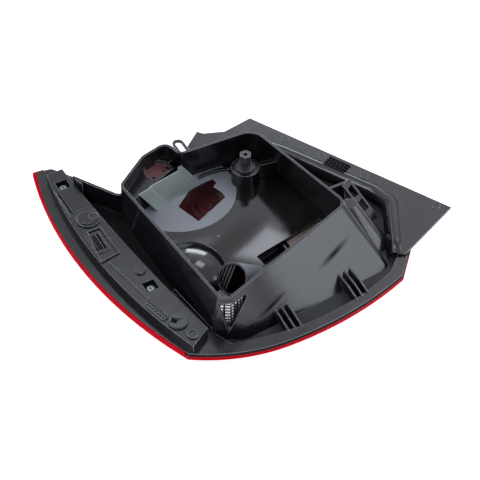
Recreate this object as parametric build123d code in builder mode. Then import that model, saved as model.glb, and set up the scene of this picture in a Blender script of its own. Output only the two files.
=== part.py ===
"""Rear lamp cluster of a small hatchback, lens down, seen from the side that meets the car body."""
import os
from math import cos, radians, sin

from build123d import *

os.makedirs("parts", exist_ok=True)

# Datum. Plan positions are measured from the sharp corner of the lens and heights from the
# joint between lens and housing. The mouth of the fixing stud is the origin.
STUD_X = 163.0
STUD_Y = 191.0
STUD_Z = 36.0
JOINT = Plane(origin=(-STUD_X, -STUD_Y, -STUD_Z))

# Walls and clearances
WALL = 2.5
FIT = 0.2
REACH = 150.0

# Outer lens: a straight band at the joint, then a skirt that slopes in to a crowned front
RIM_PROUD = 1.5
BAND_WALL = 4.0
LENS_BAND = 4.0
LENS_DEPTH = 42.0
LENS_WALL = 4.0
CROWN_RADIUS = 900.0
CROWN_X = 110.0
CROWN_Y = 125.0
CROWN_TRIM = 1.0
RIM_TIP = (-33, 304)
RIM_SIDE = (-41, 149)
RIM_CORNER = (0, 0)
RIM_FOOT = (40, -20)
RIM_LOW = (93, -30)
RIM_BACK = [(234, -8), (263, 23), (300, 92), (226, 240), (150, 258), (98, 264), (62, 252), (33, 222),
            (4, 278), (-12, 302), RIM_TIP]
RIM_RADII = [8, 25, 30, 60, 30, 20, 12, 20, 9]
FRONT_TIP = (2, 251)
FRONT_SIDE = (4, 140)
FRONT_CORNER = (38, 32)
FRONT_FOOT = (68, 16)
FRONT_LOW = (110, 8)
FRONT_BACK = [(206, 18), (226, 40), (255, 93), (196, 210), (127, 226), (96, 230), (53, 216), (38, 201),
              (16, 242), (11, 250), FRONT_TIP]
FRONT_RADII = [6, 25, 30, 60, 30, 20, 5, 15, 4]
CLEAR_ZONE = [(196, -40), (330, -40), (330, 150), (244, 118)]

# Housing: flange, sunk pan and the tall body that ends in the collar
FLANGE = 3.0
PAN_DEPTH = 8.0
COLLAR_HEIGHT = 42.0
BACK_WALL_HEIGHT = 20.0
BACK_WALL_ZONE = [(-8, 266), (16, 206), (34, 206), (34, 220), (4, 268)]
PAN_TIP = (-3, 262)
PAN_SIDE = (9, 140)
PAN_CORNER = (31, 14)
PAN_TOE = (41, -9)
PAN_LOW = (110, -20)
PAN_BACK = [(226, 0), (247, 18), (285, 86), (279, 112), (222, 216), (198, 235), (112, 240), (96, 226),
            (45, 212), (27, 214), PAN_TIP]
PAN_RADII = [6, 16, 12, 14, 14, 10, 10, 10, 6]
BODY_FOOT = [(28, 16), (60, -4), (236, 12), (197, 226), (108, 228), (97, 246), (62, 238), (24, 205)]
BODY_FOOT_RADII = [10, 25, 8, 20, 8, 10, 16, 10]
COLLAR = [(43, 16), (52, 13), (216, 73), (187, 217), (101, 219), (96, 242), (64, 233), (25, 203)]
COLLAR_RADII = [7, 7, 14, 20, 8, 10, 16, 10]

# Ramp ribs, two sets of three across the trough
RIB = 1.6
RIB_PITCH = 7.0
RIB_SETS = [105.0, 183.0]
RIB_TOP = 7.0
RIB_CREST = 2.0
RIB_END = 30.0

# Rounded flank beside the ramp
FLANK_FOOT = (236, 52)
FLANK_TOP = (222, 78)
FLANK_FOOT_RADIUS = 18.0
FLANK_TOP_RADIUS = 7.0
FLANK_HEIGHT = 34.0

# Ear shelf with the small bulb hole, behind a front edge that crosses the body
EAR_FLOOR = 25.0
EAR_FRONT = [(20, 187), (93, 218), (90, 227), (112, 237), (112, 270), (20, 270)]
SMALL_HOLE = (77, 222)
SMALL_HOLE_RADIUS = 15.0
SMALL_HOLE_TURN = 22.0

# Stud boss on its arm, and the stud
BOSS_RADIUS = 15.0
BOSS_TOP = 18.0
ARM_END = (230, 180)
STUD_RADIUS = 6.5
STUD_NECK = 5.0
STUD_SHANK = 4.0
STUD_LENGTH = 15.0
STUD_COLLAR = 10.0
STUD_COLLAR_HEIGHT = 2.0
STUD_HEX_HEIGHT = 6.0
STUD_BORE = 2.5
STUD_BORE_DEPTH = 16.0

# Latch loop on the far wall and slotted catch in the recess
LOOP_X = 109.0
LOOP_LENGTH = 28.0
LOOP_WIDTH = 12.0
LOOP_BAR = 2.6
LOOP_DROP = 9.0
CATCH_TOP = (236, 111)
CATCH_HEIGHT = 30.0
CATCH_WIDTH = 14.0
CATCH_SLOPE = 45.0
CATCH_TURN = 31.0
CATCH_EYE = 13.0
CATCH_EYES = [0.25, 0.6]

# Corner window and the faceted reflector behind it
WINDOW_X = 46.0
WINDOW_Y = 6.0
WINDOW_TOP = 36.0
WINDOW_FOOT = 3.0
WINDOW_WIDTH = 24.0
WINDOW_TURN = 45.0
LINER = 2.0
LINER_RUN = [(44.3, 34), (46.2, 21.2), (53.5, 16.6), (70, 22.2)]

# Reflector bowls inside the body: a flat topped dome, a small dome and the deck round them
PAD_X = 93.0
PAD_Y = 207.0
PAD_RADIUS = 60.0
PAD_HEIGHT = 0.0
DOME_RADIUS = 150.0
DOME_DROP = 14.0
DOME_BULGE = 4.5
BULGE_X = 54.0
BULGE_Y = 108.0
BULGE_RADIUS = 60.0
BULGE_TOP = 9.0
BULGE_SEAM = 37.0
BOWL_FOOT = -24.0
MAIN_HOLE = [(82, 187), (91, 158), (132, 177), (132, 186), (128, 197), (134, 201), (133, 208), (124, 208),
             (103, 204)]
BACK_LIP = [(121, 215), (128, 217), (146, 216), (158, 211)]
LIP = 3.0
SLOT = [(122, 90), (206, 110), (216, 84), (132, 52)]
WELL = [(118, 50), (158, 64), (158, 104), (116, 94)]
WELL_DEPTH = 8.0

# Sleeve for the lower bulb, a leaning tube on the deck
SLEEVE_X = 72.0
SLEEVE_Y = 48.0
SLEEVE_Z = 26.0
SLEEVE_DIRECTION = (0.62, 0.36, -0.70)
SLEEVE_RADIUS = 16.0
SLEEVE_LENGTH = 60.0
SLEEVE_WALL = 1.8
SLAT = 1.2
SLAT_PITCH = 3.2
SLATS = 4
SLAT_DEPTH = 14.0

# Mounting rail
RAIL_HEIGHT = 9.0
RAIL_WALL = 2.2
RAIL_DRAFT = 8.0
RAIL_TOP_LEFT = (-24, 284)
RAIL_OUTER = (-27, 142)
RAIL_LOW_LEFT = (6, 0)
RAIL_LOW_RIGHT = (28, 14)
RAIL_INNER = (8, 140)
RAIL_TOP_RIGHT = (-6, 285)
POCKETS = [(-15, 262), (4, 89)]
POCKET = 13.0
RAIL_BOSSES = [(-12, 206, 12.0, 1.5), (4, 111, 5.0, 2.0), (12, 12, 4.0, 1.5)]
CLIP_WINDOW = (-18, 166)
CLIP_WINDOW_LENGTH = 24.0
CLIP_WINDOW_WIDTH = 11.0
CLIP_TONGUE = 6.0
RAIL_SLITS = [(-24, 234, 36.0, 2.0), (-12, 104, 56.0, 12.0)]
SLIT = 2.0
BUMPER_X = 7.0
BUMPER_Y = 34.0
BUMPER_RADIUS = 9.5
BUMPER_STEM = 5.5
BUMPER_RISE = 2.5
BUMPER_RECESS = 5.0

# Side panel
PANEL = 2.5
PANEL_WALL = 5.0
PANEL_OUTLINE = [(249, 14), (328, 49), (212, 272), (177, 265), (155, 273), (150, 279), (130, 262), (130, 236),
                 (200, 226), (262, 110), (262, 84), (240, 30)]

# Heat shield, a folded strip that leans from the ear shelf down to the pad
SHIELD_X = 64.0
SHIELD_Y = 203.0
SHIELD_TOP = 27.0
SHIELD_TURN = 23.0
SHIELD_FALL = (0.549, -0.132, -0.827)
SHIELD_BEND = 1.0
SHIELD_SHEET = 1.0
SHIELD_FOLDS = [(-20, 1.5), (-8, 1.5), (-5, 0), (27, 0), (30, -4), (34, -4)]

# Plate under the small bulb hole, reversing lamp bowl and inner red filter
TRAY = 2.0
TRAY_STEP = 2.5
TRAY_MARGIN = 2.0
DIMPLE = 2.0
REVERSE_PLATE = [(162, 46), (162, 108), (200, 116), (222, 88), (214, 50)]
REVERSE_X = 188.0
REVERSE_Y = 68.0
REVERSE_RADIUS = 20.0
REVERSE_BULB = 9.0
REVERSE_DEPTH = 9.0
FILTER_X = 110.0
FILTER_Y = 184.0
FILTER_RADIUS = 37.0
FILTER_DEPTH = 22.0
FILTER_RIBS = 7
FILTER_PITCH = 8.0

# Screws
SCREW_RADIUS = 2.0
HEAD_RADIUS = 4.4
HEAD_HEIGHT = 2.8
SCREW_LENGTH = 11.0
SCREW_BOSS = 4.5
PANEL_SCREW = (273.6, 65.6)
PANEL_SCREW_HEIGHT = -1.0
PANEL_SCREW_TURN = -29.2


def at(x, y, z):
    """Point in the lamp's own frame from a plan position and a height above the joint."""
    return (x - STUD_X, y - STUD_Y, z - STUD_Z)


def lens_plan(tip, side, corner, foot, low, back, radii):
    """Outline of the lens: long curved side and foot, and a filleted run round the hidden edges."""
    with BuildSketch() as plan:
        with BuildLine():
            ThreePointArc(tip, side, corner)
            toe = ThreePointArc(corner, foot, low)
            TangentArc(low, back[0], tangent=toe % 1)
            FilletPolyline(*back, radius=radii)
        make_face()
    return plan.sketch


rim = lens_plan(RIM_TIP, RIM_SIDE, RIM_CORNER, RIM_FOOT, RIM_LOW, RIM_BACK, RIM_RADII)
front = lens_plan(FRONT_TIP, FRONT_SIDE, FRONT_CORNER, FRONT_FOOT, FRONT_LOW, FRONT_BACK, FRONT_RADII)

with BuildSketch() as pan_sketch:
    with BuildLine():
        ThreePointArc(PAN_TIP, PAN_SIDE, PAN_CORNER)
        Line(PAN_CORNER, PAN_TOE)
        ThreePointArc(PAN_TOE, PAN_LOW, PAN_BACK[0])
        FilletPolyline(*PAN_BACK, radius=PAN_RADII)
    make_face()
pan = pan_sketch.sketch


def inset_plan(plan, amount):
    """Plan outline moved in by an amount."""
    with BuildSketch() as moved:
        add(plan)
        offset(amount=-amount)
    return moved.sketch


# Lens shell: the dish less the same dish raised by its wall, under the straight band
with BuildPart() as dish:
    with BuildSketch(JOINT.offset(-LENS_BAND)):
        add(rim)
    with BuildSketch(JOINT.offset(-LENS_DEPTH)):
        add(front)
    loft(ruled=True)
    with Locations(at(CROWN_X, CROWN_Y, CROWN_RADIUS + CROWN_TRIM - LENS_DEPTH)):
        Sphere(CROWN_RADIUS, rotation=(90, 0, 0), mode=Mode.INTERSECT)

with BuildPart() as lens_shell:
    add(dish.part)
    with Locations((0, 0, LENS_WALL)):
        add(dish.part, mode=Mode.SUBTRACT)
    with BuildSketch(JOINT.offset(-LENS_BAND)):
        add(rim)
        add(inset_plan(rim, BAND_WALL), mode=Mode.SUBTRACT)
    extrude(amount=LENS_BAND)

# Clear corner of the lens, below the red band
with BuildSketch(JOINT.offset(-LENS_BAND)) as clear_zone:
    with BuildLine():
        Polyline(*CLEAR_ZONE, close=True)
    make_face()

with BuildPart() as clear_lens:
    add(lens_shell.part)
    extrude(clear_zone.sketch, amount=-REACH, mode=Mode.INTERSECT)
clear_lens.part.label = "clear_lens"
export_step(clear_lens.part, "parts/clear_lens.step")

with BuildPart() as red_lens:
    add(lens_shell.part)
    extrude(clear_zone.sketch, amount=-REACH, mode=Mode.SUBTRACT)
red_lens.part.label = "red_lens"
export_step(red_lens.part, "parts/red_lens.step")


def body_plan(points, radii, inset):
    """Outline of the lamp body at one height, moved in from its outer face."""
    with BuildSketch() as plan:
        with BuildLine():
            FilletPolyline(*points, radius=radii, close=True)
        make_face()
        if inset:
            offset(amount=-inset)
    return plan.sketch


def body_form(inset):
    """Sloping body between the pan floor and the collar rim, moved in from its outer face."""
    with BuildPart() as form:
        with BuildSketch(JOINT.offset(-PAN_DEPTH)):
            add(body_plan(BODY_FOOT, BODY_FOOT_RADII, inset))
        with BuildSketch(JOINT.offset(COLLAR_HEIGHT)):
            add(body_plan(COLLAR, COLLAR_RADII, inset))
        loft(ruled=True)
    return form.part


def flank_form(inset):
    """Leaning cone that rounds off the body beside the ramp."""
    with BuildPart() as form:
        with BuildSketch(JOINT.offset(-PAN_DEPTH)):
            with Locations(FLANK_FOOT):
                Circle(FLANK_FOOT_RADIUS - inset)
        with BuildSketch(JOINT.offset(FLANK_HEIGHT - inset)):
            with Locations(FLANK_TOP):
                Circle(FLANK_TOP_RADIUS - inset)
        loft()
    return form.part


body_outer = body_form(0)
body_cavity = body_form(WALL)
flange_plan = inset_plan(rim, RIM_PROUD)
pan_inside = inset_plan(pan, WALL)


def polygon_plan(points):
    """Plan of a straight sided outline."""
    with BuildSketch() as plan:
        with BuildLine():
            Polyline(*points, close=True)
        make_face()
    return plan.sketch


with BuildPart() as flank_cavity:
    add(flank_form(WALL))
    add(body_outer, mode=Mode.SUBTRACT)

# Boss for the stud on an arm from the right wall, trimmed to the body, clear of the bowls under it
boss_foot = PAD_HEIGHT + FIT
with BuildPart() as stud_boss:
    with BuildSketch(JOINT.offset(boss_foot)):
        with BuildLine():
            Line((STUD_X, STUD_Y), ARM_END)
        trace(line_width=2 * WALL)
        with Locations((STUD_X, STUD_Y)):
            Circle(BOSS_RADIUS)
            Circle(STUD_SHANK, mode=Mode.SUBTRACT)
    extrude(amount=BOSS_TOP - boss_foot)
    add(body_outer, mode=Mode.INTERSECT)

# Shelf of the ear with the small bulb hole and its front skirt, trimmed to the body
with BuildPart() as ear_shelf:
    with BuildSketch(JOINT.offset(EAR_FLOOR - WALL)):
        add(polygon_plan(EAR_FRONT))
        with Locations(SMALL_HOLE):
            Circle(SMALL_HOLE_RADIUS, mode=Mode.SUBTRACT)
    extrude(amount=WALL)
    with BuildSketch(JOINT.offset(boss_foot)):
        add(polygon_plan(EAR_FRONT))
        add(inset_plan(polygon_plan(EAR_FRONT), WALL), mode=Mode.SUBTRACT)
    extrude(amount=EAR_FLOOR - boss_foot)
    add(body_outer, mode=Mode.INTERSECT)

# Latch loop: its level under the collar rim, and the far wall's outer face at that level
loop_level = COLLAR_HEIGHT - LOOP_DROP
loop_share = (loop_level + PAN_DEPTH) / (COLLAR_HEIGHT + PAN_DEPTH)
loop_wall = BODY_FOOT[4][1] + (COLLAR[4][1] - BODY_FOOT[4][1]) * loop_share

# Slotted catch that leans from the height of its web down to the pan floor
catch_turn = radians(CATCH_TURN)
catch_slope = radians(CATCH_SLOPE)
catch_plane = Plane(at(*CATCH_TOP, CATCH_HEIGHT), x_dir=(cos(catch_turn), sin(catch_turn), 0),
                    z_dir=(sin(catch_turn) * sin(catch_slope), -cos(catch_turn) * sin(catch_slope),
                           cos(catch_slope)))
catch_length = (CATCH_HEIGHT + PAN_DEPTH - WALL / 2) / sin(catch_slope)
with BuildPart() as catch:
    with BuildSketch(catch_plane):
        with Locations((0, -catch_length / 2)):
            Rectangle(CATCH_WIDTH, catch_length)
        with Locations(*[(0, -catch_length * share) for share in CATCH_EYES]):
            Rectangle(CATCH_WIDTH - 2 * WALL, CATCH_EYE, mode=Mode.SUBTRACT)
    extrude(amount=WALL / 2, both=True)

# Seat of the panel screw, on the inner face of the panel wall, facing into the pan
panel_grip = WALL + FIT + PANEL_WALL
panel_out = (cos(radians(PANEL_SCREW_TURN)), sin(radians(PANEL_SCREW_TURN)))
panel_seat = Plane(at(PANEL_SCREW[0] - panel_grip * panel_out[0], PANEL_SCREW[1] - panel_grip * panel_out[1],
                      PANEL_SCREW_HEIGHT), z_dir=(-panel_out[0], -panel_out[1], 0))

window_plane = Plane(at(WINDOW_X, WINDOW_Y, 0),
                     x_dir=(sin(radians(WINDOW_TURN)), -cos(radians(WINDOW_TURN)), 0),
                     z_dir=(-cos(radians(WINDOW_TURN)), -sin(radians(WINDOW_TURN)), 0))


# Ribs across the trough, trimmed to the outside of the pan wall
with BuildPart() as ribs:
    for set_x in RIB_SETS:
        for step in (-1, 0, 1):
            with BuildSketch(Plane(at(set_x + step * RIB_PITCH, 0, 0), x_dir=(0, 1, 0), z_dir=(1, 0, 0))):
                add(polygon_plan([(PAN_LOW[1], -PAN_DEPTH), (PAN_LOW[1], FLANGE), (RIB_CREST, RIB_TOP),
                                  (RIB_END, RIB_TOP), (RIB_END, -PAN_DEPTH)]))
            extrude(amount=RIB / 2, both=True)
    with BuildSketch(JOINT):
        add(pan)
    extrude(amount=REACH, both=True, mode=Mode.INTERSECT)

with BuildPart() as housing:
    # Flange, pan wall and pan floor
    with BuildSketch(JOINT):
        add(flange_plan)
        add(pan, mode=Mode.SUBTRACT)
    extrude(amount=FLANGE)
    with BuildSketch(JOINT.offset(-PAN_DEPTH)):
        add(pan)
        add(pan_inside, mode=Mode.SUBTRACT)
    extrude(amount=PAN_DEPTH + FLANGE)
    with BuildSketch(JOINT.offset(-PAN_DEPTH)):
        add(pan)
    extrude(amount=WALL)
    # Thin wall that closes the far end of the valley
    with BuildSketch(JOINT):
        add(pan)
        add(pan_inside, mode=Mode.SUBTRACT)
        add(polygon_plan(BACK_WALL_ZONE), mode=Mode.INTERSECT)
    extrude(amount=BACK_WALL_HEIGHT)
    # Screw bosses under the rail
    with BuildSketch(JOINT):
        with Locations(*POCKETS):
            Circle(SCREW_BOSS)
    extrude(amount=-PAN_DEPTH)
    # Body, flank, ribs, latch loop and catch
    add(body_outer)
    add(flank_form(0))
    add(ribs.part)
    with BuildSketch(JOINT.offset(loop_level)):
        with Locations((LOOP_X, loop_wall - WALL + LOOP_LENGTH / 2)):
            SlotOverall(LOOP_LENGTH, LOOP_WIDTH, rotation=90)
            SlotOverall(LOOP_LENGTH - 2 * LOOP_BAR, LOOP_WIDTH - 2 * LOOP_BAR, rotation=90,
                        mode=Mode.SUBTRACT)
    extrude(amount=LOOP_BAR)
    add(catch.part)
    with BuildSketch(JOINT.offset(WALL - PAN_DEPTH)):
        with BuildLine():
            Line((STUD_X, CATCH_TOP[1]), CATCH_TOP)
        trace(line_width=WALL)
    extrude(amount=CATCH_HEIGHT + PAN_DEPTH - WALL)
    # Open the body, then the pieces that stand inside it
    add(body_cavity, mode=Mode.SUBTRACT)
    add(flank_cavity.part, mode=Mode.SUBTRACT)
    add(stud_boss.part)
    add(ear_shelf.part)
    # Corner window, rail screw pilots and panel screw pilot
    with BuildSketch(window_plane):
        add(polygon_plan([(-WINDOW_WIDTH / 2, WINDOW_TOP), (WINDOW_WIDTH / 2, WINDOW_TOP), (0, WINDOW_FOOT)]))
    extrude(amount=WINDOW_WIDTH, both=True, mode=Mode.SUBTRACT)
    with BuildSketch(JOINT.offset(FLANGE)):
        with Locations(*POCKETS):
            Circle(SCREW_RADIUS)
    extrude(amount=-PAN_DEPTH - FLANGE, mode=Mode.SUBTRACT)
    with BuildSketch(panel_seat):
        Circle(SCREW_RADIUS)
    extrude(amount=-SCREW_LENGTH, mode=Mode.SUBTRACT)
housing.part.label = "housing"
export_step(housing.part, "parts/housing.step")


# Space inside the body, down past its foot
with BuildPart() as chamber:
    add(body_form(WALL + FIT))
    with BuildSketch(JOINT.offset(BOWL_FOOT)):
        add(body_plan(BODY_FOOT, BODY_FOOT_RADII, WALL + FIT))
    extrude(amount=-PAN_DEPTH - BOWL_FOOT)


def level_slab(low, high):
    """Everything between two heights."""
    with BuildPart() as slab:
        with BuildSketch(JOINT.offset(low)):
            Rectangle(4 * REACH, 4 * REACH)
        extrude(amount=high - low)
    return slab.part


# The deck lies just under the pan floor
deck = -PAN_DEPTH - FIT


def bowl_form(drop):
    """Solid under the bowls' back: the flat topped dome, the small dome and the deck, lowered by a drop."""
    dome_low = PAD_HEIGHT - DOME_DROP
    middle = ((PAD_RADIUS + DOME_RADIUS) / 2, (PAD_HEIGHT + dome_low) / 2 + DOME_BULGE - drop)
    with BuildPart() as form:
        with BuildSketch(Plane(at(PAD_X, PAD_Y, 0), x_dir=(1, 0, 0), z_dir=(0, -1, 0))):
            with BuildLine():
                Polyline((DOME_RADIUS, dome_low - drop), (DOME_RADIUS, BOWL_FOOT), (0, BOWL_FOOT),
                         (0, PAD_HEIGHT - drop), (PAD_RADIUS, PAD_HEIGHT - drop))
                ThreePointArc((PAD_RADIUS, PAD_HEIGHT - drop), middle, (DOME_RADIUS, dome_low - drop))
            make_face()
        revolve(axis=Axis(at(PAD_X, PAD_Y, 0), (0, 0, 1)))
        with Locations(at(BULGE_X, BULGE_Y, BULGE_TOP - BULGE_RADIUS)):
            Sphere(BULGE_RADIUS - drop, rotation=(90, 0, BULGE_SEAM))
        with BuildSketch(JOINT.offset(BOWL_FOOT)):
            add(body_plan(BODY_FOOT, BODY_FOOT_RADII, 0))
        extrude(amount=deck - drop - BOWL_FOOT)
    return form.part


bowl_hollow = bowl_form(WALL)
sleeve_plane = Plane(at(SLEEVE_X, SLEEVE_Y, SLEEVE_Z), x_dir=(SLEEVE_DIRECTION[1], -SLEEVE_DIRECTION[0], 0),
                     z_dir=SLEEVE_DIRECTION)

# Sleeve for the lower bulb, with slats inside, standing on the deck
with BuildPart() as sleeve:
    with BuildSketch(sleeve_plane):
        Circle(SLEEVE_RADIUS)
        Circle(SLEEVE_RADIUS - SLEEVE_WALL, mode=Mode.SUBTRACT)
    extrude(amount=SLEEVE_LENGTH)
    add(level_slab(deck - WALL / 2, COLLAR_HEIGHT), mode=Mode.INTERSECT)
    add(chamber.part, mode=Mode.INTERSECT)
    with BuildSketch(sleeve_plane.offset(SLEEVE_WALL)):
        with Locations((-SLEEVE_RADIUS / 2, 0)):
            with GridLocations(SLAT_PITCH, 0, SLATS, 1):
                Rectangle(SLAT, 2 * SLEEVE_RADIUS)
        Circle(SLEEVE_RADIUS - SLEEVE_WALL / 2, mode=Mode.INTERSECT)
    extrude(amount=SLAT_DEPTH)

with BuildPart() as reflector:
    add(bowl_form(0))
    add(bowl_hollow, mode=Mode.SUBTRACT)
    add(chamber.part, mode=Mode.INTERSECT)
    # Lip behind the main bulb hole, then the hole and the slot
    with BuildSketch(JOINT.offset(PAD_HEIGHT - WALL)):
        with BuildLine():
            Polyline(*BACK_LIP)
        trace(line_width=LIP)
    extrude(amount=WALL + LIP)
    with BuildSketch(JOINT.offset(BOWL_FOOT)):
        add(polygon_plan(MAIN_HOLE))
        add(polygon_plan(SLOT))
    extrude(amount=REACH, mode=Mode.SUBTRACT)
    # Closed well under the near end of the slot
    with BuildSketch(JOINT.offset(deck - WALL)):
        add(polygon_plan(WELL))
    extrude(amount=-WELL_DEPTH)
    with BuildSketch(JOINT.offset(deck - WALL)):
        add(inset_plan(polygon_plan(WELL), WALL))
    extrude(amount=WALL - WELL_DEPTH, mode=Mode.SUBTRACT)
    with BuildSketch(sleeve_plane):
        Circle(SLEEVE_RADIUS - SLEEVE_WALL)
    extrude(amount=SLEEVE_LENGTH, mode=Mode.SUBTRACT)
    add(sleeve.part)
reflector.part.label = "reflector"
export_step(reflector.part, "parts/reflector.step")

# Corner reflector, folded plates that stand behind the corner window
with BuildPart() as corner_reflector:
    with BuildSketch(JOINT.offset(WINDOW_FOOT)):
        with BuildLine():
            FilletPolyline(*LINER_RUN, radius=LINER)
        trace(line_width=LINER)
    extrude(amount=WINDOW_TOP - WINDOW_FOOT)
corner_reflector.part.label = "corner_reflector"
export_step(corner_reflector.part, "parts/corner_reflector.step")

# Round tray with two dimples, under the small bulb hole, trimmed behind the ear's front edge
tray_top = EAR_FLOOR - WALL
with BuildPart() as socket_plate:
    with BuildSketch(JOINT.offset(tray_top)):
        with Locations(SMALL_HOLE):
            Circle(SMALL_HOLE_RADIUS + TRAY_MARGIN)
    extrude(amount=-TRAY_STEP - TRAY)
    with BuildSketch(JOINT.offset(tray_top)):
        with Locations(SMALL_HOLE):
            Circle(SMALL_HOLE_RADIUS)
    extrude(amount=-TRAY_STEP, mode=Mode.SUBTRACT)
    with BuildSketch(JOINT.offset(tray_top)):
        with Locations(Location((*SMALL_HOLE, 0), (0, 0, SMALL_HOLE_TURN))):
            with GridLocations(SMALL_HOLE_RADIUS, 0, 2, 1):
                Circle(DIMPLE)
    extrude(amount=-TRAY_STEP - TRAY, mode=Mode.SUBTRACT)
    with BuildSketch(JOINT):
        add(inset_plan(polygon_plan(EAR_FRONT), WALL + FIT))
    extrude(amount=REACH, mode=Mode.INTERSECT)
    add(chamber.part, mode=Mode.INTERSECT)
socket_plate.part.label = "socket_plate"
export_step(socket_plate.part, "parts/socket_plate.step")

# Bowl of the reversing lamp, hung under the deck across the slot
plate_top = deck - WALL
with BuildPart() as reverse_bowl:
    with BuildSketch(JOINT.offset(plate_top)):
        add(polygon_plan(REVERSE_PLATE))
    extrude(amount=-TRAY)
    with BuildSketch(Plane(at(REVERSE_X, REVERSE_Y, 0), x_dir=(1, 0, 0), z_dir=(0, -1, 0))):
        cup_low = plate_top - TRAY - REVERSE_DEPTH
        add(polygon_plan([(REVERSE_BULB, plate_top - TRAY), (REVERSE_BULB + TRAY, plate_top - TRAY),
                          (REVERSE_RADIUS + TRAY, cup_low), (REVERSE_RADIUS, cup_low)]))
    revolve(axis=Axis(at(REVERSE_X, REVERSE_Y, 0), (0, 0, 1)))
    with BuildSketch(JOINT.offset(plate_top)):
        with Locations((REVERSE_X, REVERSE_Y)):
            Circle(REVERSE_BULB)
    extrude(amount=-TRAY, mode=Mode.SUBTRACT)
reverse_bowl.part.label = "reverse_bowl"
export_step(reverse_bowl.part, "parts/reverse_bowl.step")

# Inner red filter, a ribbed drum under the main bulb hole
pad_under = PAD_HEIGHT - WALL
with BuildPart() as inner_filter:
    with BuildSketch(JOINT.offset(pad_under)):
        with Locations((FILTER_X, FILTER_Y)):
            Circle(FILTER_RADIUS)
    extrude(amount=-FILTER_DEPTH)
    with BuildSketch(JOINT.offset(pad_under)):
        with Locations((FILTER_X, FILTER_Y)):
            Circle(FILTER_RADIUS - TRAY)
    extrude(amount=TRAY - FILTER_DEPTH, mode=Mode.SUBTRACT)
    with BuildSketch(JOINT.offset(pad_under + TRAY - FILTER_DEPTH)):
        with Locations((FILTER_X, FILTER_Y)):
            with GridLocations(FILTER_PITCH, 0, FILTER_RIBS, 1):
                Rectangle(TRAY, FILTER_RADIUS)
    extrude(amount=TRAY)
inner_filter.part.label = "inner_filter"
export_step(inner_filter.part, "parts/inner_filter.step")

# Heat shield: one folded strip that falls from above the ear shelf to the pad, cut level at both ends
shield_turn = radians(SHIELD_TURN)
shield_rise = (cos(shield_turn) * SHIELD_FALL[0] + sin(shield_turn) * SHIELD_FALL[1]) / -SHIELD_FALL[2]
shield_plane = Plane(at(SHIELD_X, SHIELD_Y, SHIELD_TOP),
                     x_dir=(cos(shield_turn), sin(shield_turn), shield_rise), z_dir=SHIELD_FALL)
with BuildPart() as heat_shield:
    with BuildSketch(shield_plane):
        with BuildLine():
            FilletPolyline(*SHIELD_FOLDS, radius=SHIELD_BEND)
        trace(line_width=SHIELD_SHEET)
    extrude(amount=REACH, both=True)
    add(level_slab(PAD_HEIGHT, SHIELD_TOP), mode=Mode.INTERSECT)
    add(chamber.part, mode=Mode.INTERSECT)
heat_shield.part.label = "heat_shield"
export_step(heat_shield.part, "parts/heat_shield.step")

# Fixing stud: shank in the boss, collar on it, round neck and hexagonal head with the bore
with BuildPart() as fixing_stud:
    with BuildSketch(JOINT.offset(BOSS_TOP)):
        with Locations((STUD_X, STUD_Y)):
            Circle(STUD_SHANK)
    extrude(amount=-STUD_LENGTH)
    with BuildSketch(JOINT.offset(BOSS_TOP)):
        with Locations((STUD_X, STUD_Y)):
            Circle(STUD_COLLAR)
    extrude(amount=STUD_COLLAR_HEIGHT)
    with BuildSketch(JOINT.offset(BOSS_TOP)):
        with Locations((STUD_X, STUD_Y)):
            Circle(STUD_NECK)
    extrude(amount=STUD_Z - BOSS_TOP)
    with BuildSketch(JOINT.offset(STUD_Z - STUD_HEX_HEIGHT)):
        with Locations((STUD_X, STUD_Y)):
            RegularPolygon(STUD_RADIUS, 6)
    extrude(amount=STUD_HEX_HEIGHT)
    with BuildSketch(JOINT.offset(STUD_Z)):
        with Locations((STUD_X, STUD_Y)):
            Circle(STUD_BORE)
    extrude(amount=-STUD_BORE_DEPTH, mode=Mode.SUBTRACT)
fixing_stud.part.label = "fixing_stud"
export_step(fixing_stud.part, "parts/fixing_stud.step")

# Mounting rail: an open channel on the flange with screw pockets, bosses, a clip window and slits
with BuildSketch() as rail_sketch:
    with BuildLine():
        ThreePointArc(RAIL_TOP_LEFT, RAIL_OUTER, RAIL_LOW_LEFT)
        Line(RAIL_LOW_LEFT, RAIL_LOW_RIGHT)
        ThreePointArc(RAIL_LOW_RIGHT, RAIL_INNER, RAIL_TOP_RIGHT)
        Line(RAIL_TOP_RIGHT, RAIL_TOP_LEFT)
    make_face()
rail = rail_sketch.sketch
rail_level = FLANGE + RAIL_HEIGHT
pocket_floor = FLANGE + RAIL_WALL

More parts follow.
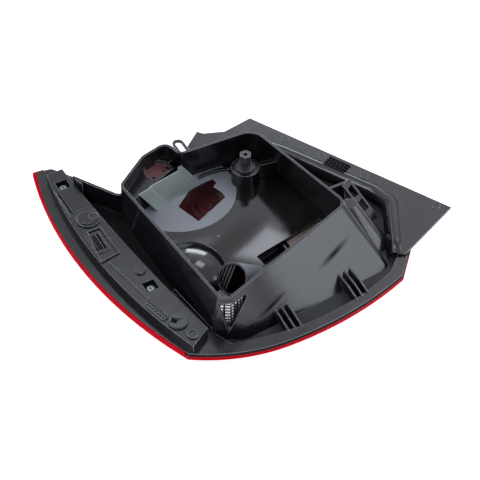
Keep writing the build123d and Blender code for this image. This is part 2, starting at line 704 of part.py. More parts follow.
with BuildPart() as mounting_rail:
    with BuildSketch(JOINT.offset(FLANGE)):
        add(rail)
    extrude(amount=RAIL_HEIGHT)
    with BuildSketch(JOINT.offset(FLANGE)):
        add(inset_plan(rail, RAIL_WALL))
    extrude(amount=RAIL_HEIGHT - RAIL_WALL, mode=Mode.SUBTRACT)
    with BuildSketch(JOINT.offset(FLANGE)):
        with Locations(*POCKETS):
            Rectangle(POCKET + 2 * RAIL_WALL, POCKET + 2 * RAIL_WALL)
    extrude(amount=RAIL_HEIGHT)
    with BuildSketch(JOINT.offset(pocket_floor)):
        with Locations(*POCKETS):
            Rectangle(POCKET, POCKET)
    extrude(amount=RAIL_HEIGHT, mode=Mode.SUBTRACT)
    with BuildSketch(JOINT.offset(FLANGE)):
        with Locations(*POCKETS):
            Circle(SCREW_RADIUS + FIT)
    extrude(amount=RAIL_WALL, mode=Mode.SUBTRACT)
    for x, y, radius, rise in RAIL_BOSSES:
        with BuildSketch(JOINT.offset(rail_level)):
            with Locations((x, y)):
                Circle(radius)
        extrude(amount=rise, taper=RAIL_DRAFT)
    with BuildSketch(JOINT.offset(rail_level)):
        with Locations(CLIP_WINDOW):
            Rectangle(CLIP_WINDOW_WIDTH + 2 * RAIL_WALL, CLIP_WINDOW_LENGTH + 2 * RAIL_WALL)
    extrude(amount=RAIL_WALL / 2)
    with BuildSketch(JOINT.offset(rail_level - RAIL_WALL)):
        with Locations(CLIP_WINDOW):
            Rectangle(CLIP_WINDOW_WIDTH, CLIP_WINDOW_LENGTH)
            Rectangle(CLIP_TONGUE, CLIP_WINDOW_LENGTH, mode=Mode.SUBTRACT)
        for x, y, length, slant in RAIL_SLITS:
            with Locations((x, y)):
                Rectangle(SLIT, length, rotation=slant)
        with Locations((BUMPER_X, BUMPER_Y)):
            Circle(BUMPER_STEM + FIT)
    extrude(amount=2 * RAIL_WALL, mode=Mode.SUBTRACT)
mounting_rail.part.label = "mounting_rail"
export_step(mounting_rail.part, "parts/mounting_rail.step")

# Rubber bumper: a stem that stands on the flange and a head with a three cornered recess
with BuildPart() as rail_bumper:
    with BuildSketch(JOINT.offset(FLANGE)):
        with Locations((BUMPER_X, BUMPER_Y)):
            Circle(BUMPER_STEM)
    extrude(amount=RAIL_HEIGHT)
    with BuildSketch(JOINT.offset(rail_level)):
        with Locations((BUMPER_X, BUMPER_Y)):
            Circle(BUMPER_RADIUS)
    extrude(amount=BUMPER_RISE)
    with BuildSketch(JOINT.offset(rail_level + BUMPER_RISE)):
        with Locations((BUMPER_X, BUMPER_Y)):
            RegularPolygon(BUMPER_RECESS, 3)
    extrude(amount=-BUMPER_RISE / 2, mode=Mode.SUBTRACT)
rail_bumper.part.label = "rail_bumper"
export_step(rail_bumper.part, "parts/rail_bumper.step")


def screw(plane, length):
    """Cross headed screw whose head seats on a plane and whose shank runs down from it."""
    with BuildPart() as piece:
        with BuildSketch(plane):
            Circle(HEAD_RADIUS)
        extrude(amount=HEAD_HEIGHT)
        chamfer(piece.faces().sort_by(Axis(plane.origin, plane.z_dir))[-1].edges(), length=HEAD_HEIGHT / 3)
        with BuildSketch(plane.offset(HEAD_HEIGHT)):
            Rectangle(HEAD_RADIUS, HEAD_HEIGHT / 3)
            Rectangle(HEAD_HEIGHT / 3, HEAD_RADIUS)
        extrude(amount=-HEAD_HEIGHT / 2, mode=Mode.SUBTRACT)
        with BuildSketch(plane):
            Circle(SCREW_RADIUS)
        extrude(amount=-length)
    return piece.part


with BuildPart() as rail_screws:
    for x, y in POCKETS:
        add(screw(Plane(at(x, y, pocket_floor)), SCREW_LENGTH))
rail_screws.part.label = "rail_screws"
export_step(rail_screws.part, "parts/rail_screws.step")

# Side panel: a plate on the flange with a wall that stands in the pan
panel_edge = inset_plan(pan, WALL + FIT)
panel_mouth = inset_plan(pan, panel_grip)
panel_plan = polygon_plan(PANEL_OUTLINE)
panel_level = FLANGE + PANEL
with BuildPart() as side_panel:
    with BuildSketch(JOINT.offset(FLANGE)):
        add(panel_plan)
        add(panel_mouth, mode=Mode.SUBTRACT)
    extrude(amount=PANEL)
    with BuildSketch(JOINT.offset(WALL - PAN_DEPTH)):
        add(panel_plan)
        add(panel_edge, mode=Mode.INTERSECT)
        add(panel_mouth, mode=Mode.SUBTRACT)
    extrude(amount=PAN_DEPTH - WALL + panel_level)
    with BuildSketch(panel_seat):
        Circle(SCREW_RADIUS + FIT)
    extrude(amount=-panel_grip, mode=Mode.SUBTRACT)
side_panel.part.label = "side_panel"
export_step(side_panel.part, "parts/side_panel.step")

with BuildPart() as panel_screw:
    add(screw(panel_seat, SCREW_LENGTH))
panel_screw.part.label = "panel_screw"
export_step(panel_screw.part, "parts/panel_screw.step")
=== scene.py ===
"""Tail light cluster lying lens down on a pale studio floor."""

import math

import bmesh
import bpy
from mathutils import Matrix, Vector


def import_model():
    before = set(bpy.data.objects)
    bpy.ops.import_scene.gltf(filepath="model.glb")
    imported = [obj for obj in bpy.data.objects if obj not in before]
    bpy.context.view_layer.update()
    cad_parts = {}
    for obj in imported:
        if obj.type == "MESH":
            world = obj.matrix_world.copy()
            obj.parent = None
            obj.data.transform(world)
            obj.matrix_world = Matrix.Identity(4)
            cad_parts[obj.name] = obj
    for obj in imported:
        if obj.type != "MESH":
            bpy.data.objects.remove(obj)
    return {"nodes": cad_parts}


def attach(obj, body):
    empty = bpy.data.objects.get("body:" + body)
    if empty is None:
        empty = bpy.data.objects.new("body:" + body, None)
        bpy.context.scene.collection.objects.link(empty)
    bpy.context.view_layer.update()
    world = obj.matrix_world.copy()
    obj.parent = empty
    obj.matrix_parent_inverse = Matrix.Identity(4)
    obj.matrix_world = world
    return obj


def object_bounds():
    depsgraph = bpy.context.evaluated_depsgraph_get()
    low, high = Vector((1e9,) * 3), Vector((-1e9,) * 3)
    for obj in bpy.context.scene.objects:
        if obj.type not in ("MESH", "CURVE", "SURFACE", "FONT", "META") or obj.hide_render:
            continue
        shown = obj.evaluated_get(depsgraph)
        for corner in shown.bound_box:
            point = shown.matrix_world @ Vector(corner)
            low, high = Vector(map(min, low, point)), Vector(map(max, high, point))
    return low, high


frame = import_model()
nodes = frame["nodes"]
cad_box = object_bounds()

# Plan positions are in millimetres from the lens corner, heights from the joint of lens and housing
MM = 0.001
STUD = Vector((163.0, 191.0, 36.0))
FLOOR_LEVEL = cad_box[0][2]

# Heights of the faces that carry a finish or details of their own
PAN_FLOOR = -5.5
PAD_TOP = 0.0
FLANGE_TOP = 3.0
PANEL_TOP = 5.5
RAIL_TOP = 12.0


def at(x, y, z):
    """Point in the row frame, in metres."""
    return (Vector((x, y, z)) - STUD) * MM


# Finishes
NOISE_LOW = 0.3
NOISE_HIGH = 0.7


def linear(code):
    """Linear colour of an sRGB hex code."""
    parts = [int(code[i:i + 2], 16) / 255 for i in (1, 3, 5)]
    return [p / 12.92 if p <= 0.04045 else ((p + 0.055) / 1.055) ** 2.4 for p in parts] + [1.0]


def put(tree, socket, value):
    """Links an input to an output, or sets its value."""
    if isinstance(value, bpy.types.NodeSocket):
        tree.links.new(value, socket)
    else:
        socket.default_value = value


def add_node(tree, kind, inputs, **settings):
    """Adds a node with its settings, fills its inputs and gives its outputs."""
    made = tree.nodes.new("ShaderNode" + kind)
    for key, value in settings.items():
        setattr(made, key, value)
    for key, value in inputs.items():
        put(tree, made.inputs[key], value)
    return made.outputs


class Finish:
    """Principled material whose patterns read object coordinates, with their sizes in millimetres."""

    def __init__(self, name):
        self.material = bpy.data.materials.new(name)
        self.material.use_nodes = True
        self.tree = self.material.node_tree
        self.bsdf = self.tree.nodes["Principled BSDF"]
        self.coords = self.node("TexCoord", {})["Object"]

    def node(self, kind, inputs, **settings):
        """Adds a node to this material."""
        return add_node(self.tree, kind, inputs, **settings)

    def set(self, **inputs):
        """Sets or links inputs of the shader."""
        for key, value in inputs.items():
            put(self.tree, self.bsdf.inputs[key.replace("_", " ")], value)

    def patches(self, size, detail, low, high):
        """Value that wanders between two limits in patches of a size."""
        cloud = self.node("TexNoise", {"Vector": self.coords, "Scale": 1 / (size * MM), "Detail": detail})
        limits = {"From Min": NOISE_LOW, "From Max": NOISE_HIGH, "To Min": low, "To Max": high}
        return self.node("MapRange", {"Value": cloud["Fac"], **limits})[0]

    def mottle(self, size, detail, dark, light):
        """Colour that wanders between two hex codes in patches of a size."""
        share = self.patches(size, detail, 0, 1)
        return self.node("Mix", {0: share, 6: linear(dark), 7: linear(light)}, data_type="RGBA")[2]

    def relief(self, edge, grain, detail, depth, hollows=()):
        """Edges that the shading rounds by a radius, a grain of a size and a depth, and hollows over it."""
        normal = self.node("Bevel", {"Radius": edge * MM}, samples=4)["Normal"]
        cloud = self.node("TexNoise", {"Vector": self.coords, "Scale": 1 / (grain * MM), "Detail": detail})
        for height, rise in [(cloud["Fac"], depth), *hollows]:
            bump = {"Normal": normal, "Height": height, "Strength": 1.0, "Distance": rise * MM}
            normal = self.node("Bump", bump)["Normal"]
        self.set(Normal=normal)

    def outer_edge(self, radius):
        """1 along edges that stand proud, within a radius."""
        rounded = self.node("Bevel", {"Radius": radius * MM}, samples=4)["Normal"]
        flat = self.node("NewGeometry", {})["Normal"]
        turn = self.node("VectorMath", {0: rounded, 1: flat}, operation="DOT_PRODUCT")["Value"]
        air = self.node("AmbientOcclusion", {"Distance": 3 * radius * MM}, samples=4)["AO"]
        bend = {"Value": turn, "From Min": 0.75, "From Max": 0.97, "To Min": 1, "To Max": 0}
        room = {"Value": air, "From Min": 0.6, "From Max": 0.9, "To Min": 0, "To Max": 1}
        both = {0: self.node("MapRange", bend)[0], 1: self.node("MapRange", room)[0]}
        return self.node("Math", both, operation="MULTIPLY")[0]

    def dent(self, start, stop, width):
        """1 along the middle of a long soft hollow between two points, falling to 0 round it."""
        run = stop - start
        place = {"Vector": self.coords, "Location": (start + stop) / 2,
                 "Rotation": run.to_track_quat("X", "Z").to_euler(),
                 "Scale": (run.length / 2, width * MM, width * MM)}
        fitted = self.node("Mapping", place, vector_type="TEXTURE")[0]
        return self.node("TexGradient", {"Vector": fitted}, gradient_type="SPHERICAL")["Fac"]

    def star(self, middle, arm, bend):
        """1 inside a level four-pointed star about a point, with arms of a length and sides that bend in."""
        apart = self.node("VectorMath", {0: self.coords, 1: middle}, operation="SUBTRACT")[0]
        parts = self.node("SeparateXYZ", {"Vector": apart})
        reach = 0.0
        for axis in ("X", "Y"):
            length = self.node("Math", {0: parts[axis]}, operation="ABSOLUTE")[0]
            curved = self.node("Math", {0: length, 1: bend}, operation="POWER")[0]
            reach = self.node("Math", {0: reach, 1: curved}, operation="ADD")[0]
        return self.node("Math", {0: reach, 1: (arm * MM) ** bend}, operation="LESS_THAN")[0]


# Proud edges of the mouldings catch the light, so a painted highlight draws them paler
EDGE_HIGHLIGHT_WIDTH = 0.8
EDGE_HIGHLIGHT_TONE = "#c4c8d0"

# Soft hollows in the ramp, darker because they throw less light back
DENT_WIDTH = 4.0
DENT_DEPTH = 0.25
DENT_DULL = 0.55
RAMP_DENTS = [(at(74, 4.2, 8.2), at(116, 16.4, 16.1)), (at(154, 25.4, 16.4), at(204, 46.6, 25.0)),
              (at(50, 4.6, 2), at(74, 2, 4))]


def moulded_plastic(name, dark, light, smooth, dull, grain, depth, edge=0.7, dents=()):
    """Moulded plastic: faint mottling, uneven gloss, a fine grain, edges painted paler as a highlight, and
    soft hollows.
    """
    m = Finish(name)
    # Proud edges are blended towards a pale tone: a painted highlight
    tone_with_painted_light = {0: m.outer_edge(EDGE_HIGHLIGHT_WIDTH), 6: m.mottle(30, 3, dark, light), 7: linear(EDGE_HIGHLIGHT_TONE)}
    m.set(Base_Color=m.node("Mix", tone_with_painted_light, data_type="RGBA")[2], IOR=1.5)
    m.set(Roughness=m.patches(12, 4, smooth, dull))
    hollows = [m.dent(start, stop, DENT_WIDTH) for start, stop in dents]
    m.relief(edge, grain, 2, depth, [(hollow, -DENT_DEPTH) for hollow in hollows])
    shine = 0.5
    for hollow in hollows:
        shine = m.node("Math", {0: hollow, 1: -DENT_DULL, 2: shine}, operation="MULTIPLY_ADD")[0]
    m.set(Specular_IOR_Level=shine)
    return m.material


def pan_plastic_painted_shade(name, deep_painted_shade, shallow):
    """Dull moulded plastic of the pan: painted shade makes it near black in the trough by rail and wing;
    greyer before the ramp.
    """
    m = Finish(name)
    place = m.node("SeparateXYZ", {"Vector": m.coords})
    past_rail = {"Value": place["X"], "From Min": at(30, 0, 0).x, "From Max": at(80, 0, 0).x,
                 "To Min": 0, "To Max": 1}
    before_ramp = {"Value": place["Y"], "From Min": at(0, 25, 0).y, "From Max": at(0, 45, 0).y,
                   "To Min": 1, "To Max": 0}
    both = {0: m.node("MapRange", past_rail)[0], 1: m.node("MapRange", before_ramp)[0]}
    # The deep colour is painted shade over the trough by rail and wing
    tone_with_painted_light = {0: m.node("Math", both, operation="MULTIPLY")[0], 6: linear(deep_painted_shade), 7: linear(shallow)}
    m.set(Base_Color=m.node("Mix", tone_with_painted_light, data_type="RGBA")[2], IOR=1.5)
    m.set(Roughness=m.patches(12, 4, 0.5, 0.6), Specular_IOR_Level=0.15)
    m.relief(0.7, 3, 2, 0.002)
    return m.material


def moulded_rubber(name, dark, light, sunk, middle):
    """Dull rubber with a four-pointed star sunk in its middle, which is painted near black as shade."""
    m = Finish(name)
    star = m.star(middle, 6.0, 0.6)
    # The sunk star takes a near black colour: painted shade
    tone_with_painted_light = {0: star, 6: m.mottle(20, 2, dark, light), 7: linear(sunk)}
    m.set(Base_Color=m.node("Mix", tone_with_painted_light, data_type="RGBA")[2])
    shine = {"Value": star, "From Min": 0, "From Max": 1, "To Min": 0.5, "To Max": 0.05}
    m.set(Roughness=m.patches(6, 3, 0.4, 0.55), Specular_IOR_Level=m.node("MapRange", shine)[0])
    m.relief(0.5, 2, 2, 0.004, [(star, -1.0)])
    return m.material


def polished_acrylic(name, code, through, rough, shine):
    """Polished acrylic with slight unevenness."""
    m = Finish(name)
    m.set(Base_Color=linear(code), IOR=1.49, Transmission_Weight=through, Specular_IOR_Level=shine)
    m.set(Roughness=m.patches(15, 3, rough, rough * 2))
    m.relief(0.6, 25, 1, 0.02)
    return m.material


def plated_metal(name, code, metal, smooth, dull):
    """Plated metal, the less metallic the duller the plating, with uneven gloss."""
    m = Finish(name)
    m.set(Base_Color=linear(code), Metallic=metal)
    m.set(Roughness=m.patches(6, 3, smooth, dull))
    m.relief(0.2, 8, 1, 0.004)
    return m.material


def faceted_metal(name, code, pitch, depth):
    """Metallised plastic moulded in small pyramids."""
    m = Finish(name)
    m.set(Base_Color=linear(code), Metallic=0.8, Roughness=0.25)
    normal = m.node("NewGeometry", {})["Normal"]
    for direction in ("X", "Y", "Z"):
        wave = m.node("TexWave", {"Vector": m.coords, "Scale": math.pi / 10 / (pitch * MM)},
                      bands_direction=direction, wave_profile="TRI")
        bump = {"Normal": normal, "Height": wave["Fac"], "Strength": 1.0, "Distance": depth * MM}
        normal = m.node("Bump", bump)["Normal"]
    m.set(Normal=normal)
    return m.material


# The grain of the mouldings is finer in reality. It is drawn 1 to 3 mm wide so that it shows.
# Moulded ABS: near black, with a satin gloss that stays even over large faces
BLACK_ABS = moulded_plastic("black_abs_satin", "#0f1013", "#131417", 0.18, 0.24, 3.0, 0.002, 0.9, RAMP_DENTS)
RAIL_ABS = moulded_plastic("black_abs_rail", "#121317", "#17181c", 0.17, 0.23, 3.0, 0.002, 0.7)
PANEL_ABS = moulded_plastic("black_abs_panel", "#111216", "#16171b", 0.17, 0.22, 3.0, 0.002, 0.7)
# The same ABS left rough by the mould: hardly any gloss, and near black with painted shade in the trough
TROUGH_PAINTED_SHADE = pan_plastic_painted_shade("black_abs_trough_painted_shade", "#0a0b0d", "#3c3d42")
# Lacquered back of the reflector: black, with a high and slightly wavy gloss
LACQUER = moulded_plastic("lacquered_reflector_back", "#121012", "#161315", 0.10, 0.16, 14, 0.02)
# Bare moulding of the pad and the sleeve: even grey, matt
PAD_GREY = moulded_plastic("reflector_pad_matt", "#868990", "#8d9097", 0.30, 0.40, 1.5, 0.004)
# Phenolic moulding: reddish brown, with a soft gloss
BROWN = moulded_plastic("brown_phenolic", "#74504f", "#82595a", 0.2, 0.3, 1.0, 0.012)
# Smoke tinted moulding: greyish brown, a little duller
SMOKE = moulded_plastic("smoke_brown_plastic", "#75625e", "#826e69", 0.25, 0.35, 1.0, 0.012)
# Moulded rubber: dark grey and dull, with painted shade that makes its sunk star darkest
RUBBER = moulded_rubber("bumper_rubber", "#4b4d51", "#4f5156", "#0c0c0e", at(3.2, 35.2, 0))
# Black oxide on steel: a thin dark coat with a soft gloss, and a painted highlight along its edges
BLACK_STEEL = moulded_plastic("black_oxide_steel", "#2b2c2f", "#35363a", 0.2, 0.3, 2.0, 0.004, 0.4)
# Red acrylic: the edge gathers light and glows without gloss, and the outer face, which faces down, is
# painted a deeper red as shade
RED = polished_acrylic("red_acrylic", "#d6001b", 0.05, 0.06, 0.0)
DEEP_RED_PAINTED_SHADE = polished_acrylic("red_acrylic_face_painted_shade", "#a00014", 0.05, 0.06, 0.15)
# Red acrylic with the dark lamp behind it: painted shade makes it brownish red; polished
DARK_RED_PAINTED_SHADE = polished_acrylic("dark_red_acrylic", "#6c3537", 0.1, 0.1, 0.5)
# Clear acrylic: almost without colour, so that what lies behind it shows
CLEAR = polished_acrylic("clear_acrylic", "#eeeeee", 0.9, 0.05, 0.5)
# Zinc plating: greenish grey and cloudy on the sheet, brighter on the screws
ZINC = plated_metal("zinc_plated_sheet", "#98a29f", 0.5, 0.34, 0.44)
ZINC_STEEL = plated_metal("zinc_plated_steel", "#8e989e", 0.8, 0.25, 0.4)
# Vacuum metallised plastic: mirror bright in the bowl, and broken into facets in the corner
CHROME = plated_metal("metallised_plastic", "#e6e6e8", 1.0, 0.06, 0.14)
FACETS = faceted_metal("metallised_facets", "#dcdcde", 4.0, 1.2)

# How far a face's normal points up, which tells the sides of the lens and the reflector apart
LENS_INSIDE = 0.5
LENS_OUTSIDE = -0.15
REFLECTOR_UNDERSIDE = -0.2

NEAR = 0.05 * MM
SLEEVE_MOUTH = at(72, 48, 26)
SLEEVE_AXIS = Vector((0.62, 0.36, -0.70)).normalized()
SLEEVE_RADIUS = 16.0 * MM


def paint(name, *materials):
    """Gives a CAD node its materials, the first one on every face."""
    mesh = nodes[name].data
    mesh.materials.clear()
    for material in materials:
        mesh.materials.append(material)
    mesh.polygons.foreach_set("material_index", [0] * len(mesh.polygons))
    return mesh


def level(mesh, face, height):
    """Whether a face lies flat at a height above the joint."""
    return all(abs(mesh.vertices[v].co.z - at(0, 0, height).z) < NEAR for v in face.vertices)


def on_sleeve(mesh, face):
    """Whether a face lies on the outside of the leaning sleeve."""
    reaches = [mesh.vertices[v].co - SLEEVE_MOUTH for v in face.vertices]
    return all(abs((r - SLEEVE_AXIS * r.dot(SLEEVE_AXIS)).length - SLEEVE_RADIUS) < NEAR for r in reaches)


single_finishes = {
    "mounting_rail": RAIL_ABS,
    "side_panel": PANEL_ABS,
    "clear_lens": CLEAR,
    # The filter inside the lamp takes the darker red of painted shade
    "inner_filter": DARK_RED_PAINTED_SHADE,
    "socket_plate": BROWN,
    "reverse_bowl": SMOKE,
    "corner_reflector": FACETS,
    "heat_shield": ZINC,
    "fixing_stud": BLACK_STEEL,
    "rail_screws": ZINC_STEEL,
    "panel_screw": ZINC_STEEL,
    "rail_bumper": RUBBER,
}
for name, material in single_finishes.items():
    paint(name, material)

# Housing: the floor of the pan is duller than the rest and carries the trough's painted shade
mesh = paint("housing", BLACK_ABS, TROUGH_PAINTED_SHADE)
for face in mesh.polygons:
    if level(mesh, face, PAN_FLOOR):
        face.material_index = 1

# Red lens: its edge glows; its inner face is darker and its outer face deeper, both as painted shade
mesh = paint("red_lens", RED, DARK_RED_PAINTED_SHADE, DEEP_RED_PAINTED_SHADE)
for face in mesh.polygons:
    if face.normal.z > LENS_INSIDE:
        face.material_index = 1
    elif face.normal.z < LENS_OUTSIDE:
        face.material_index = 2

# Reflector: gloss back, matt pad and sleeve, metallised underside that faces the lens
mesh = paint("reflector", LACQUER, PAD_GREY, CHROME)
for face in mesh.polygons:
    if face.normal.z < REFLECTOR_UNDERSIDE:
        face.material_index = 2
    elif level(mesh, face, PAD_TOP) or on_sleeve(mesh, face):
        face.material_index = 1


# Small moulded details that stand on the CAD pieces, with sizes in millimetres
BAR_ROOT = 0.4
SHEET_WALL = 0.4


def piece(name, bm, material):
    """Turns a bmesh into a piece of the lamp."""
    mesh = bpy.data.meshes.new(name)
    bm.to_mesh(mesh)
    bm.free()
    mesh.materials.append(material)
    made = bpy.data.objects.new(name, mesh)
    bpy.context.collection.objects.link(made)
    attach(made, "root")


def bead(bm, place, radius):
    """Small round bead."""
    bmesh.ops.create_uvsphere(bm, u_segments=12, v_segments=8, radius=radius * MM,
                              matrix=Matrix.Translation(at(*place)))


def bar(bm, start, stop, width, rise):
    """Straight bar that stands on a surface between two points, with its root sunk in."""
    run = at(*stop) - at(*start)
    along = run.to_track_quat("X", "Z").to_matrix().to_4x4()
    along.translation = (at(*start) + at(*stop)) / 2 + Vector((0, 0, (rise - BAR_ROOT) / 2 * MM))
    size = Matrix.Diagonal((run.length, width * MM, (rise + BAR_ROOT) * MM, 1))
    bmesh.ops.create_cube(bm, size=1, matrix=along @ size)


def ring(bm, place, radius, width, rise):
    """Flat raised ring."""
    corners = [(radius, 0), (radius, rise), (radius + width, rise), (radius + width, 0)]
    verts = [bm.verts.new(at(*place) + Vector((r, 0, z)) * MM) for r, z in corners]
    edges = [bm.edges.new((verts[i], verts[(i + 1) % 4])) for i in range(4)]
    bmesh.ops.spin(bm, geom=verts + edges, cent=at(*place), axis=(0, 0, 1), angle=2 * math.pi, steps=32,
                   use_merge=True)
    bmesh.ops.recalc_face_normals(bm, faces=bm.faces)


def draw_line(bm, points):
    """Row of edges through points in metres."""
    verts = [bm.verts.new(point) for point in points]
    return [bm.edges.new(pair) for pair in zip(verts, verts[1:])]


def draw_out(bm, edges):
    """Extrudes a row of edges and gives the new vertices and the new row, still in place."""
    made = bmesh.ops.extrude_edge_only(bm, edges=edges)["geom"]
    verts = [item for item in made if isinstance(item, bmesh.types.BMVert)]
    lines = [item for item in made if isinstance(item, bmesh.types.BMEdge)]
    return verts, [line for line in lines if line.verts[0] in verts and line.verts[1] in verts]


def thicken(bm):
    """Turns a sheet face up and gives it a wall below."""
    bmesh.ops.recalc_face_normals(bm, faces=bm.faces)
    bm.normal_update()
    if sum(face.normal.z for face in bm.faces) < 0:
        bmesh.ops.reverse_faces(bm, faces=bm.faces)
    bmesh.ops.solidify(bm, geom=bm.faces, thickness=SHEET_WALL * MM)


def between(start, stop, share):
    """Point part of the way from one position to another."""
    return [a + (b - a) * share for a, b in zip(start, stop)]


def tip_dots():
    """Grip dots on the flange at the pointed tip."""
    bm = bmesh.new()
    for row in range(8):
        x, y = between((-27.5, 294), (-33, 272), row / 7)
        for side in (-1, 0, 1):
            bead(bm, (x + 2.4 * side, y - side, FLANGE_TOP - 0.2), 0.8)
    piece("tip_dots", bm, RAIL_ABS)


def rail_grille():
    """Short ladder of ribs beside the rubber bumper."""
    far = (-8.5, 68)
    near = (-1.5, 42)
    half = 3.6
    bm = bmesh.new()
    for step in range(8):
        x, y = between(far, near, step / 7)
        bar(bm, (x - half, y, RAIL_TOP), (x + half, y + 1.6, RAIL_TOP), 1.5, 1.0)
    for side in (-half, 0, half):
        bar(bm, (far[0] + side, far[1], RAIL_TOP), (near[0] + side, near[1], RAIL_TOP), 1.0, 1.0)
    piece("rail_grille", bm, RAIL_ABS)


def rail_rings():
    """Raised rings on the rail."""
    bm = bmesh.new()
    for x, y, radius in [(-12.6, 201.5, 11.0), (-6.4, 203.2, 4.0), (3.3, 111.3, 4.4), (11.9, 12.7, 4.6)]:
        ring(bm, (x, y, RAIL_TOP), radius, 0.8, 1.6)
    piece("rail_rings", bm, RAIL_ABS)


def rail_lines():
    """Raised lines and the frame of the clip window on the rail."""
    bm = bmesh.new()
    bar(bm, (-27.5, 257, RAIL_TOP), (-27.2, 213, RAIL_TOP), 0.8, 0.8)
    bar(bm, (-18.9, 136.3, RAIL_TOP), (-5.1, 71.7, RAIL_TOP), 2.3, 0.8)
    frame_corners = [(-21.3, 184.4), (-6.8, 184.8), (-4.6, 143.5), (-26, 139.3)]
    for start, stop in zip(frame_corners, frame_corners[1:] + frame_corners[:1]):
        bar(bm, (*start, RAIL_TOP), (*stop, RAIL_TOP), 1.6, 1.6)
    piece("rail_lines", bm, RAIL_ABS)


def clip_ribs():
    """Half-round tongue in the clip window, with fine ribs along it, painted near black as shade by the
    trough finish.
    """
    radius = 6.0
    sunk = 4.4
    half = 10.0
    x = -18.0
    y = 166.0
    bm = bmesh.new()
    lying = Matrix.Translation(at(x, y, RAIL_TOP - sunk)) @ Matrix.Rotation(math.pi / 2, 4, "X")
    bmesh.ops.create_cone(bm, cap_ends=True, segments=48, radius1=radius * MM, radius2=radius * MM,
                          depth=2 * half * MM, matrix=lying)
    for step in range(5):
        aside = 1.6 * (step - 2)
        crown = RAIL_TOP - sunk + math.sqrt(radius ** 2 - aside ** 2)
        bar(bm, (x + aside, y - half, crown), (x + aside, y + half, crown), 0.5, 0.4)
    piece("clip_ribs", bm, TROUGH_PAINTED_SHADE)


def panel_rings():
    """Marks of the ejector pins on the side panel."""
    bm = bmesh.new()
    for x, y in [(229, 223), (250, 180.5), (274, 132), (315.5, 58)]:
        ring(bm, (x, y, PANEL_TOP), 4.0, 0.6, 0.3)
    piece("panel_rings", bm, PANEL_ABS)


def panel_grid():
    """Crossed ribs of the clip seat on the side panel, in line with its far edge, painted near black as
    shade by the trough finish.
    """
    along = Vector((-0.46, 0.89, 0))
    across = Vector((0.89, 0.46, 0))
    middle = Vector((257, 160, PANEL_TOP))
    width = 1.3
    rise = 1.6
    bm = bmesh.new()
    for step in range(4):
        place = middle + across * (4 * step - 6)
        bar(bm, place - along * 13, place + along * 13, width, rise)
    for step in range(5):
        place = middle + along * (4 * step - 8)
        bar(bm, place - across * 6, place + across * 6, width, rise)
    piece("panel_grid", bm, TROUGH_PAINTED_SHADE)


def wall_beads():
    """Row of small beads down the wall between the rail and the chamber."""
    bm = bmesh.new()
    for step in range(8):
        bead(bm, between((28.9, 164, 40), (24.8, 177, 2), step / 7), 0.9)
    piece("wall_beads", bm, BLACK_ABS)


def filter_ribs():
    """Fine ribs on the floor of the inner filter, below the main bulb hole, kept inside its drum."""
    middle = Vector((110, 184, -22.5))
    reach = 33.0
    along = Vector((0.707, 0.707, 0))
    across = Vector((0.707, -0.707, 0))
    bm = bmesh.new()
    for step in range(5):
        offset = 2.8 + 7.07 * step
        half = min(24, math.sqrt(reach ** 2 - offset ** 2))
        place = middle + across * offset
        bar(bm, place - along * half, place + along * half, 0.7, 1.2)
    piece("filter_ribs", bm, SMOKE)


def valley_fins():
    """Thin fins along the foot of the chamber wall beside the corner window."""
    bm = bmesh.new()
    for step in range(4):
        offset = 2.6 * step
        far = (16.5 + offset, 78, PAN_FLOOR)
        near = (25.5 + offset, 22 - 2 * step, PAN_FLOOR)
        bar(bm, far, near, 0.9, 7.0 + 2.0 * step)
    piece("valley_fins", bm, BLACK_ABS)


def lens_rim():
    """Red edge of the lens that rises beside the flange along the rail and broadens round the tip."""
    middle = (442.1, 201.8)
    arc = 485.9
    rise = FLANGE_TOP + 0.3
    path = [(-21, 302.6)]
    widths = [0.8]
    for step in range(25):
        y = 303.4 - 12.5 * step
        path.append((middle[0] - math.sqrt(arc ** 2 - (y - middle[1]) ** 2), y))
        widths.append(1.2 + 2.2 * max(0, 1 - step / 5))
    bm = bmesh.new()
    edges = draw_line(bm, [at(x, y, 0) for x, y in path])
    brow, edges = draw_out(bm, edges)
    bmesh.ops.translate(bm, verts=brow, vec=(0, 0, rise * MM))
    back, edges = draw_out(bm, edges)
    for vert in back:
        reaches = [(at(x, y, rise) - vert.co).length for x, y in path]
        width = widths[reaches.index(min(reaches))]
        bmesh.ops.translate(bm, verts=[vert], vec=(width * MM, -width / 3 * MM, 0))
    thicken(bm)
    piece("lens_rim", bm, RED)


def panel_roll():
    """Rounded inner edge of the side panel, from its top down into the pan."""
    path = [(240, 23), (250, 41), (274, 84), (275, 92), (269, 113), (219, 205), (211, 217), (198, 226)]
    section = [(10, 0), (7, 0.5), (4.5, 0.6), (2, 0.1), (0, -1), (-2, -3), (-3.7, -5.5), (-5, -8.5),
               (-5.5, -11)]
    inward = (168, 120)
    stations = []
    for x, y in path:
        away = Matrix.Rotation(math.atan2(y - inward[1], x - inward[0]), 4, "Z")
        stations.append(Matrix.Translation(at(x, y, PANEL_TOP)) @ away)
    bm = bmesh.new()
    edges = draw_line(bm, [stations[0] @ Vector((out * MM, 0, up * MM)) for out, up in section])
    for last, station in zip(stations, stations[1:]):
        verts, edges = draw_out(bm, edges)
        bmesh.ops.transform(bm, matrix=station @ last.inverted(), verts=verts)
    thicken(bm)
    for face in bm.faces:
        face.smooth = True
    piece("panel_roll", bm, PANEL_ABS)


for detail in (tip_dots, rail_grille, rail_rings, rail_lines, clip_ribs, panel_rings, panel_grid, wall_beads,
               filter_ribs, valley_fins, lens_rim, panel_roll):
    detail()

# Floor, light and camera
FLOOR_GLOW = 0.75
SURROUND_AS_LIGHT = (0.3, 0.3, 0.31, 1)
SURROUND_SEEN = (0.92, 0.95, 1, 1)
# Slightly cool daylight of the softboxes
SKY = (0.86, 0.90, 1.0)
LIT_POINT = at(130, 130, 0)


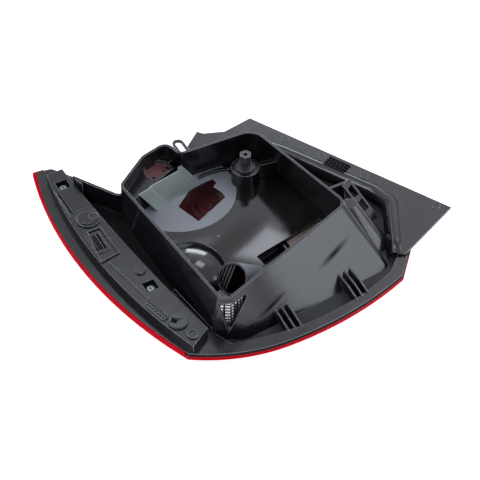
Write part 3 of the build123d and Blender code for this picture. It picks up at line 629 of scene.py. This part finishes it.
def background_ray(tree):
    """1 for a ray that shows the background, straight, mirrored or through clear plastic."""
    rays = add_node(tree, "LightPath", {})
    shown = rays["Is Camera Ray"]
    for kind in ("Is Glossy Ray", "Is Transmission Ray"):
        shown = add_node(tree, "Math", {0: shown, 1: rays[kind]}, operation="MAXIMUM")[0]
    return shown


def floor():
    """Pale floor that goes white where it is lit and keeps the shadow."""
    bm = bmesh.new()
    bmesh.ops.create_grid(bm, x_segments=1, y_segments=1, size=6)
    bmesh.ops.translate(bm, verts=bm.verts, vec=(0, 0, FLOOR_LEVEL))
    mesh = bpy.data.meshes.new("studio_floor")
    bm.to_mesh(mesh)
    bm.free()
    made = bpy.data.objects.new("studio_floor", mesh)
    bpy.context.collection.objects.link(made)
    m = Finish("white_floor")
    glow = m.node("Math", {0: background_ray(m.tree), 1: FLOOR_GLOW}, operation="MULTIPLY")[0]
    m.set(Base_Color=linear("#f4f4f4"), Roughness=0.9)
    m.set(Emission_Color=linear("#ffffff"), Emission_Strength=glow)
    mesh.materials.append(m.material)


def facing(azimuth, elevation):
    """Direction from the lamp towards a viewer or a light, from angles in degrees."""
    a = math.radians(azimuth)
    e = math.radians(elevation)
    return Vector((math.sin(a) * math.cos(e), -math.cos(a) * math.cos(e), math.sin(e)))


def softbox(name, azimuth, elevation, distance, width, height, radiance):
    """Area light that faces the lamp from a direction, with a radiance over its face."""
    data = bpy.data.lights.new(name, "AREA")
    data.shape = "RECTANGLE"
    data.size = width
    data.size_y = height
    data.energy = radiance * 4 * width * height
    data.color = SKY
    made = bpy.data.objects.new(name, data)
    bpy.context.collection.objects.link(made)
    back = facing(azimuth, elevation)
    made.location = LIT_POINT + back * distance
    made.rotation_euler = back.to_track_quat("Z", "Y").to_euler()


def world():
    """Even pale surround: white where it is seen, dimmer as a light."""
    made = bpy.data.worlds.new("studio")
    bpy.context.scene.world = made
    made.use_nodes = True
    tree = made.node_tree
    shade = {0: background_ray(tree), 6: SURROUND_AS_LIGHT, 7: SURROUND_SEEN}
    colour = add_node(tree, "Mix", shade, data_type="RGBA")[2]
    put(tree, tree.nodes["Background"].inputs["Color"], colour)


def camera():
    """Camera at the photograph's angle."""
    data = bpy.data.cameras.new("camera")
    data.lens = 105
    data.sensor_width = 36
    data.clip_end = 50
    made = bpy.data.objects.new("camera", data)
    bpy.context.collection.objects.link(made)
    made.location = at(-355.571, -772.375, 1003.723)
    made.rotation_euler = facing(-28, 45).to_track_quat("Z", "Y").to_euler()
    bpy.context.scene.camera = made


floor()
softbox("softbox_behind", 132, 40, 1.5, 1.0, 0.4, 0.4)
softbox("softbox_low", 146, 25, 1.4, 0.6, 0.3, 7.0)
softbox("softbox_right", 48, 28, 1.6, 1.4, 1.1, 2.5)
softbox("softbox_dome", 123, 56, 1.6, 0.35, 0.35, 5.0)
softbox("softbox_rail", 161, 51, 1.6, 0.3, 0.2, 1.2)
softbox("softbox_left", -97, 48, 1.6, 0.5, 0.5, 5.0)
softbox("softbox_front", -80, 15, 1.6, 1.2, 0.7, 2.0)
world()
camera()
bpy.context.scene.view_settings.view_transform = "Standard"
